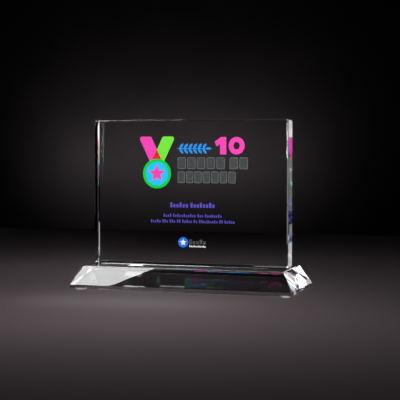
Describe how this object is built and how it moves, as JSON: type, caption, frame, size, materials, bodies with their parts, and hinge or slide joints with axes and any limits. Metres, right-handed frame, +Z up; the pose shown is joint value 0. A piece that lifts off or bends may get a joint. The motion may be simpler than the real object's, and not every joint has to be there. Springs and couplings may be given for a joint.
{
  "type": "crystal award",
  "caption": "Upright clear crystal plaque with a printed back face, bonded to a sloping crystal base on clear stick-on feet.",
  "frame": {"origin": "on the surface the award stands on, under the middle of its base", "axes": "+Z up; -Y out of the front, the side the print is read from; +X to the reader's right"},
  "size_m": [0.228, 0.091, 0.1695],
  "materials": {
    "panel_crystal": "polished optical crystal",
    "base_crystal": "polished optical crystal",
    "bond_adhesive": "clear, cured under ultraviolet light",
    "clear_bumper": "clear, soft, slightly cloudy",
    "foot_adhesive": "clear, tacky",
    "ink_pink": "cured print ink, satin",
    "ink_green": "cured print ink, satin",
    "ink_red": "cured print ink, satin",
    "ink_deep_green": "cured print ink, satin",
    "ink_cyan": "cured print ink, satin",
    "ink_blue": "cured print ink, satin",
    "ink_grey": "cured print ink, satin",
    "ink_light_grey": "cured print ink, satin",
    "ink_violet": "cured print ink, satin",
    "ink_royal_blue": "cured print ink, satin",
    "ink_white": "cured print ink, satin"
  },
  "bodies": {
    "root": {"crystal_panel": "panel_crystal", "crystal_base": "base_crystal", "bond_film": "bond_adhesive", "foot_adhesive_discs": "foot_adhesive", "foot_front_left": "clear_bumper", "foot_front_right": "clear_bumper", "foot_rear_left": "clear_bumper", "foot_rear_right": "clear_bumper", "emblem_strap_pink": "ink_pink", "emblem_medal_star": "ink_pink", "numeral_one": "ink_pink", "numeral_zero": "ink_pink", "emblem_strap_green": "ink_green", "emblem_strap_crossing": "ink_red", "emblem_medal_rim": "ink_deep_green", "emblem_medal_field": "ink_cyan", "laurel_sprig": "ink_blue", "title_row_one": "ink_grey", "title_row_two": "ink_grey", "title_row_one_outline": "ink_light_grey", "title_row_two_outline": "ink_light_grey", "footer_row_one": "ink_light_grey", "name_row": "ink_violet", "message_row_one": "ink_violet", "message_row_two": "ink_violet", "footer_disc": "ink_royal_blue", "footer_star": "ink_white", "footer_row_two": "ink_white", "white_backing": "ink_white"}
  },
  "joints": []
}
